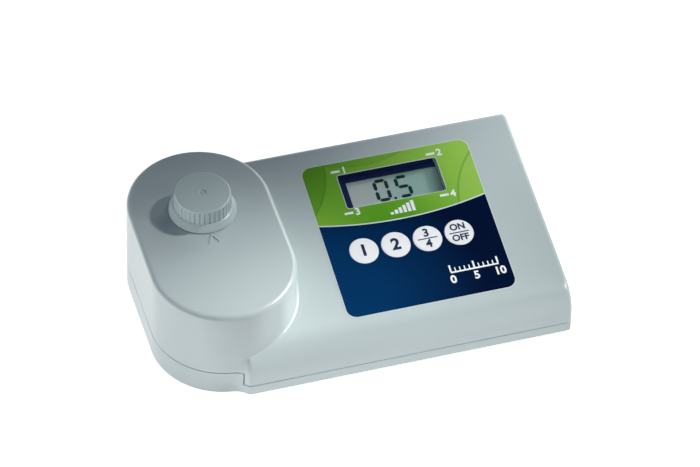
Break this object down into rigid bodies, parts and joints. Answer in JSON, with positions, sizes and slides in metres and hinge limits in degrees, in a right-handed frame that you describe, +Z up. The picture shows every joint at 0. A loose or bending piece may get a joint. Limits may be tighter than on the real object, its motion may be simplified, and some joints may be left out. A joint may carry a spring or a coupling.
{
  "type": "photometer",
  "caption": "Compact bench photometer: a stadium-shaped tower holds a capped glass sample vial, beside a sloping console with a display and round keys.",
  "frame": {"origin": "middle of the bounding box's bottom, on the surface that the feet stand on", "axes": "+X from the tower to the console's right end, +Y to the back, +Z up"},
  "size_m": [0.19, 0.11, 0.0625],
  "materials": {
    "case_plastic": "satin pale blue-grey moulded plastic",
    "seal_rubber": "matt black rubber",
    "foot_rubber": "matt dark rubber",
    "steel": "bright zinc-plated steel",
    "dome_steel": "bright spring steel",
    "panel_foil": "satin printed foil, green over navy",
    "key_white": "satin white",
    "window_clear": "clear, polished",
    "bezel_navy": "matt dark navy",
    "display_grey": "grey-green reflective display",
    "strip_rubber": "silicone contact strip",
    "board_green": "solder-resist green",
    "chip_black": "moulded black",
    "socket_cream": "natural nylon",
    "chamber_black": "matt black, light-tight",
    "lamp_clear": "water-clear moulded lamp",
    "sensor_metal": "plated can",
    "filter_glass": "coated filter glass",
    "ribbon_grey": "grey flat cable",
    "vial_glass": "clear borosilicate glass",
    "liner_white": "white sealing disc",
    "cap_plastic": "satin pale grey moulded plastic",
    "cell_wrap": "plain dark cell jacket",
    "lead_red": "red insulated wire"
  },
  "bodies": {
    "housing": {"back_left_foot": "foot_rubber", "back_right_foot": "foot_rubber", "battery_cell_1": "cell_wrap", "battery_cell_2": "cell_wrap", "battery_cell_3": "cell_wrap", "battery_cell_4": "cell_wrap", "battery_contacts": "steel", "battery_leads": "lead_red", "battery_springs": "steel", "board_chips": "chip_black", "board_connectors": "socket_cream", "board_screws": "steel", "buzzer": "chip_black", "case_screws": "steel", "chamber_screws": "steel", "chamber_seal": "seal_rubber", "contact_strips": "strip_rubber", "detector_board": "board_green", "detector_ribbon": "ribbon_grey", "display_bezel": "bezel_navy", "display_glass": "display_grey", "display_window": "window_clear", "front_left_foot": "foot_rubber", "front_right_foot": "foot_rubber", "housing_seal": "seal_rubber", "keypad_overlay": "panel_foil", "lamp": "lamp_clear", "lamp_board": "board_green", "lamp_lens": "window_clear", "lamp_ribbon": "ribbon_grey", "light_filter": "filter_glass", "lower_housing": "case_plastic", "main_board": "board_green", "photodiode": "sensor_metal", "processor": "chip_black", "sample_chamber": "chamber_black", "snap_dome_1": "dome_steel", "snap_dome_2": "dome_steel", "snap_dome_3": "dome_steel", "snap_dome_4": "dome_steel", "upper_housing": "case_plastic", "vial_spring": "steel"},
    "vial": {"sample_vial": "vial_glass"},
    "liner": {"cap_liner": "liner_white"},
    "cap": {"vial_cap": "cap_plastic"},
    "battery_cover": {"battery_cover": "case_plastic", "cover_seal": "seal_rubber", "cover_screws": "steel"},
    "key_1": {"key_1": "key_white"},
    "key_2": {"key_2": "key_white"},
    "key_3": {"key_3": "key_white"},
    "key_4": {"key_4": "key_white"}
  },
  "joints": [
    {"name": "vial_lift", "type": "slide", "parent": "housing", "child": "vial", "axis": [0, 0, 1], "range_m": [0, 0.06]},
    {"name": "cap_rise", "type": "slide", "parent": "vial", "child": "liner", "axis": [0, 0, 1], "range_m": [0, 0.006]},
    {"name": "cap_turn", "type": "hinge", "parent": "liner", "child": "cap", "pos_m": [-0.0618, 0.0167, 0.0565], "axis": [0, 0, 1], "range_deg": [0, 720.6]},
    {"name": "key_1_press", "type": "slide", "parent": "housing", "child": "key_1", "axis": [0, 0.2016, -0.9795], "range_m": [0, 0.0004], "stiffness_N_per_m": 3000, "deforming": ["snap_dome_1"]},
    {"name": "key_2_press", "type": "slide", "parent": "housing", "child": "key_2", "axis": [0, 0.2016, -0.9795], "range_m": [0, 0.0004], "stiffness_N_per_m": 3000, "deforming": ["snap_dome_2"]},
    {"name": "key_3_press", "type": "slide", "parent": "housing", "child": "key_3", "axis": [0, 0.2016, -0.9795], "range_m": [0, 0.0004], "stiffness_N_per_m": 3000, "deforming": ["snap_dome_3"]},
    {"name": "key_4_press", "type": "slide", "parent": "housing", "child": "key_4", "axis": [0, 0.2016, -0.9795], "range_m": [0, 0.0004], "stiffness_N_per_m": 3000, "deforming": ["snap_dome_4"]},
    {"name": "cover_removal", "type": "slide", "parent": "housing", "child": "battery_cover", "axis": [0, 0, -1], "range_m": [0, 0.03]}
  ],
  "couplings": [
    {"joint": "cap_turn", "follows": "cap_rise", "rad_per_m": 2094.4}
  ]
}
